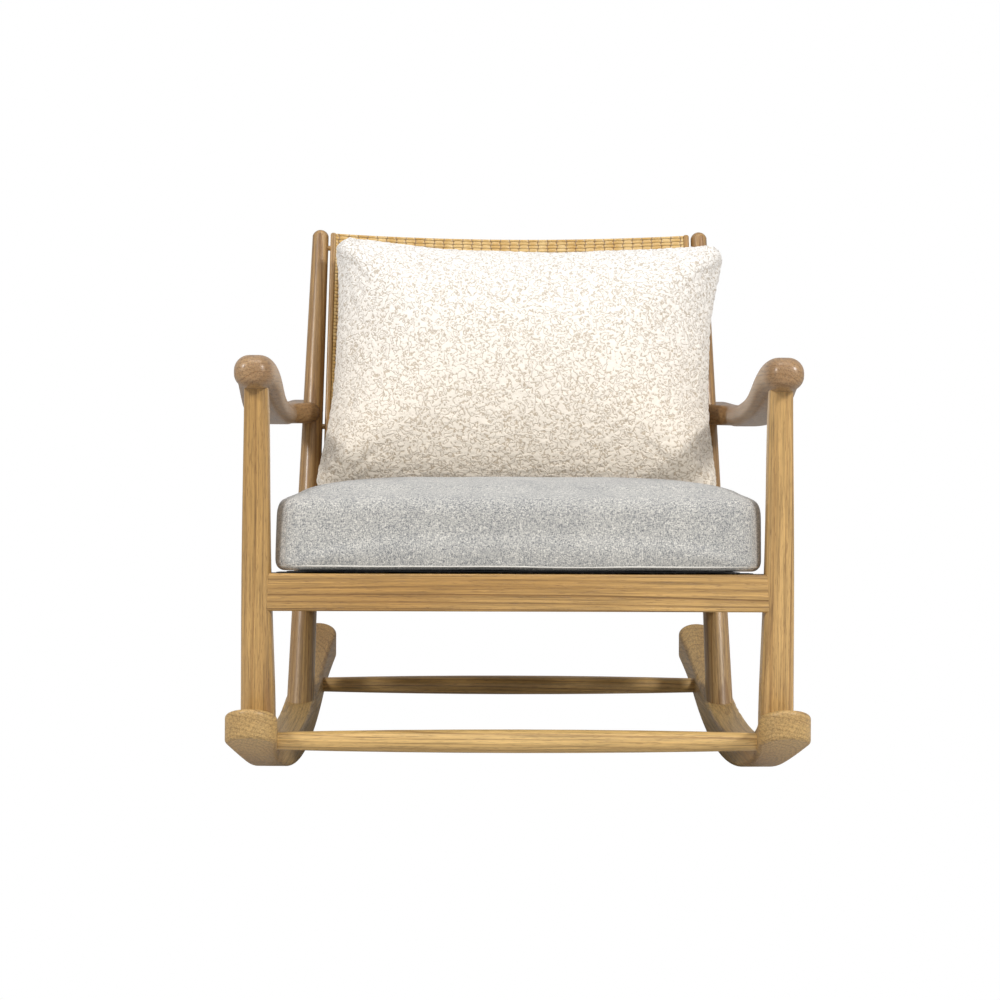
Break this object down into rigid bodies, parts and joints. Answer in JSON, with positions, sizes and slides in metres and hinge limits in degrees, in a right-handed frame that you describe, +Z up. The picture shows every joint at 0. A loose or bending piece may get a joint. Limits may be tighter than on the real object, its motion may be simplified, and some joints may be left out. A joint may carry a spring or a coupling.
{
  "type": "rocking chair",
  "caption": "Low wooden lounge rocking chair with curved armrests, round rear posts, a woven cane back and two loose cushions.",
  "frame": {"origin": "on the floor, under the middle of the chair's bounding box; the rockers touch the floor at about this Y", "axes": "the chair faces -Y, +X is to the right of a viewer who looks along +Y, +Z is up"},
  "size_m": [0.7264, 0.8524, 0.7606],
  "materials": {
    "wood": "satin",
    "rocker_wood": "satin",
    "arm_wood": "satin",
    "cane": "satin",
    "block_wood": "matte",
    "webbing": "matte",
    "platform_cloth": "matte",
    "screw_steel": "satin",
    "seat_fabric": "matte",
    "back_fabric": "matte",
    "filling": "matte",
    "zip_tape": "matte"
  },
  "bodies": {
    "frame": {"rocker_left": "rocker_wood", "rocker_right": "rocker_wood", "front_post_left": "wood", "front_post_right": "wood", "rear_post_left": "wood", "rear_post_right": "wood", "armrest_left": "arm_wood", "armrest_right": "arm_wood", "seat_front_rail": "wood", "seat_rear_rail": "wood", "seat_side_rail_left": "wood", "seat_side_rail_right": "wood", "front_stretcher": "wood", "rear_stretcher": "wood", "corner_blocks": "block_wood", "corner_block_screws": "screw_steel", "arm_screws": "screw_steel", "webbing_lengthwise": "webbing", "webbing_crosswise": "webbing", "platform_cloth": "platform_cloth", "back_top_rail": "wood", "back_bottom_rail": "wood", "back_stile_left": "wood", "back_stile_right": "wood", "back_dowels": "wood", "woven_back_panel": "cane"},
    "seat_cushion": {"seat_cushion_cover": "seat_fabric", "seat_cushion_filling": "filling", "seat_cushion_zip": "zip_tape"},
    "back_cushion": {"back_cushion_cover": "back_fabric", "back_cushion_filling": "filling", "back_cushion_zip": "zip_tape"}
  },
  "joints": [
    {"name": "seat_cushion_slide", "type": "slide", "parent": "frame", "child": "seat_cushion", "axis": [0, -0.9969, 0.0785], "range_m": [0, 0.25]},
    {"name": "back_cushion_lift", "type": "slide", "parent": "frame", "child": "back_cushion", "axis": [0, 0.3089, 0.9511], "range_m": [0, 0.3]}
  ]
}
